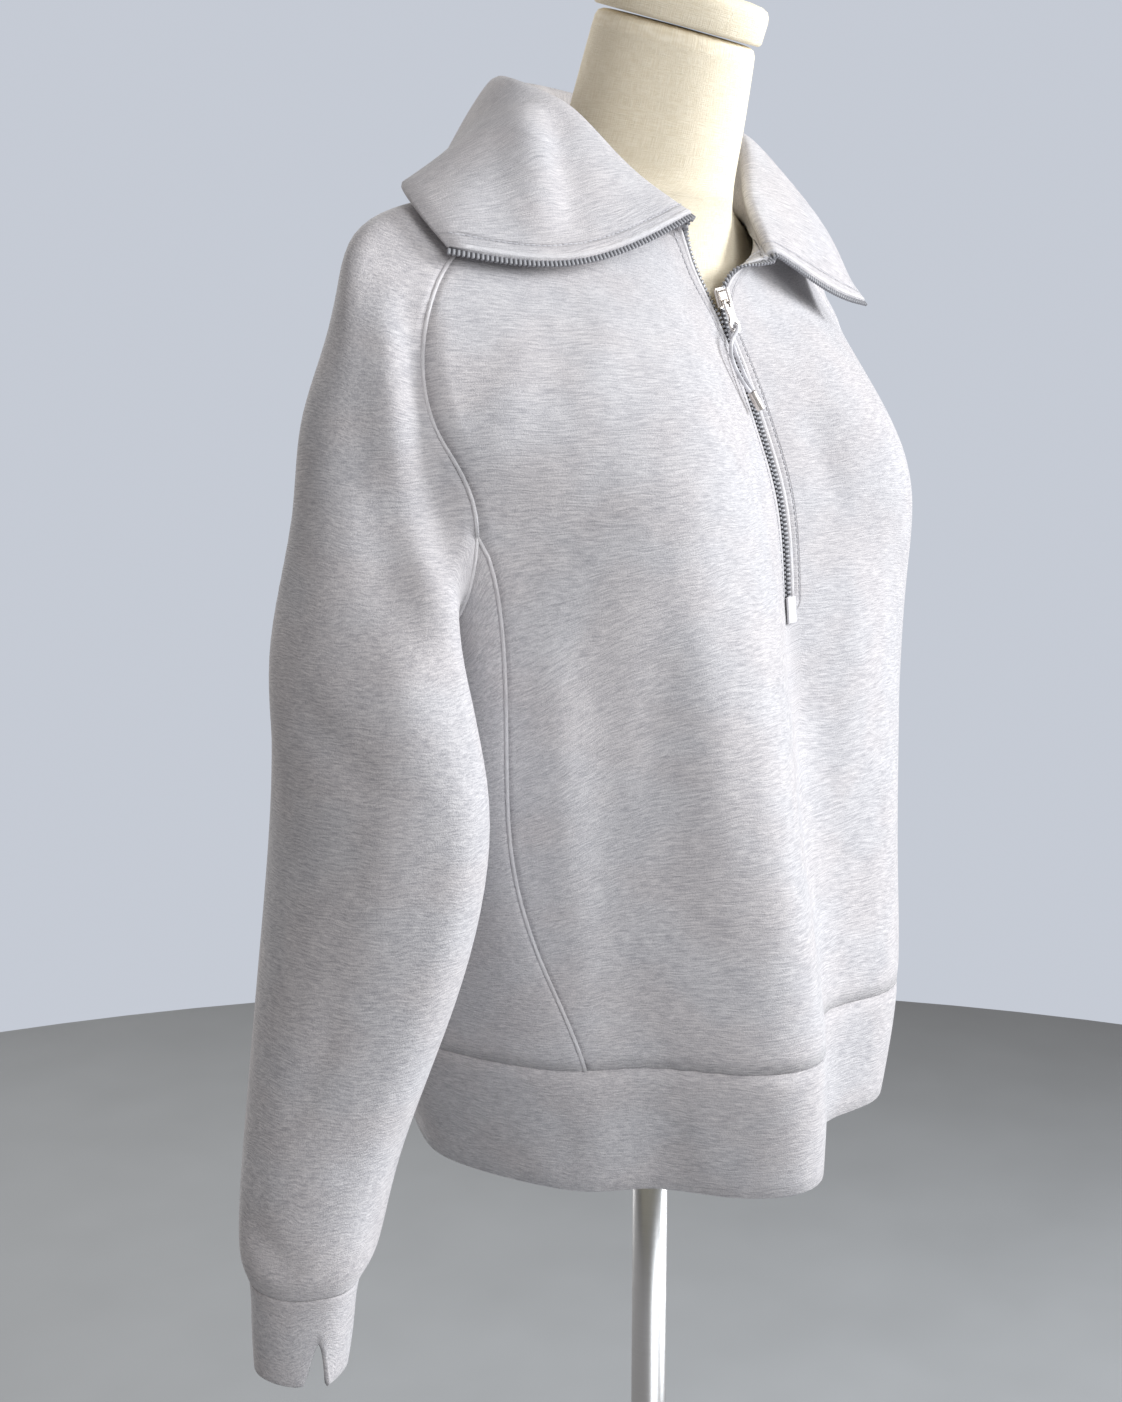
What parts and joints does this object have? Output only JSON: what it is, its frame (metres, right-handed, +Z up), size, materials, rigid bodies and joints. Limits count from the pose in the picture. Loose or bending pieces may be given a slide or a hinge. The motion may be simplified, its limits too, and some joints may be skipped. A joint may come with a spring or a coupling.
{
  "type": "quarter-zip sweater on a limbless dress form",
  "caption": "Light grey knitted quarter-zip sweater with raglan sleeves and a turned-out collar, open at the neck, on a linen dress form with a slim pole and a round base.",
  "frame": {"origin": "on the floor, under the middle of the stand's base", "axes": "+Z up, -Y the wearer's front, -X the wearer's right"},
  "size_m": [0.6509, 0.36, 1.535],
  "materials": {
    "heather_knit": "brushed heather knit",
    "zip_teeth": "moulded",
    "silver_metal": "satin",
    "cord": "braided",
    "linen": "plain weave",
    "brushed_steel": "satin"
  },
  "bodies": {
    "sweater": {"front_panel": "heather_knit", "back_panel": "heather_knit", "side_panel_right": "heather_knit", "side_panel_left": "heather_knit", "sleeve_right": "heather_knit", "sleeve_left": "heather_knit", "collar": "heather_knit", "hem_band": "heather_knit", "cuff_right": "heather_knit", "cuff_left": "heather_knit", "zip_tape_right": "zip_teeth", "zip_tape_left": "zip_teeth", "zip_end_patch": "heather_knit", "zip_slider": "silver_metal", "form_body": "linen", "form_neck_cap": "linen", "stand_base": "brushed_steel", "stand_pole": "brushed_steel"},
    "pull_tab": {"zip_pull_tab": "silver_metal", "pull_cord": "cord", "cord_tip": "silver_metal"}
  },
  "joints": [
    {"name": "pull_tab_swing", "type": "hinge", "parent": "sweater", "child": "pull_tab", "pos_m": [-0.00952, -0.05155, 1.35054], "axis": [-0.9889, -0.062, -0.1347], "range_deg": [0, 110]}
  ]
}
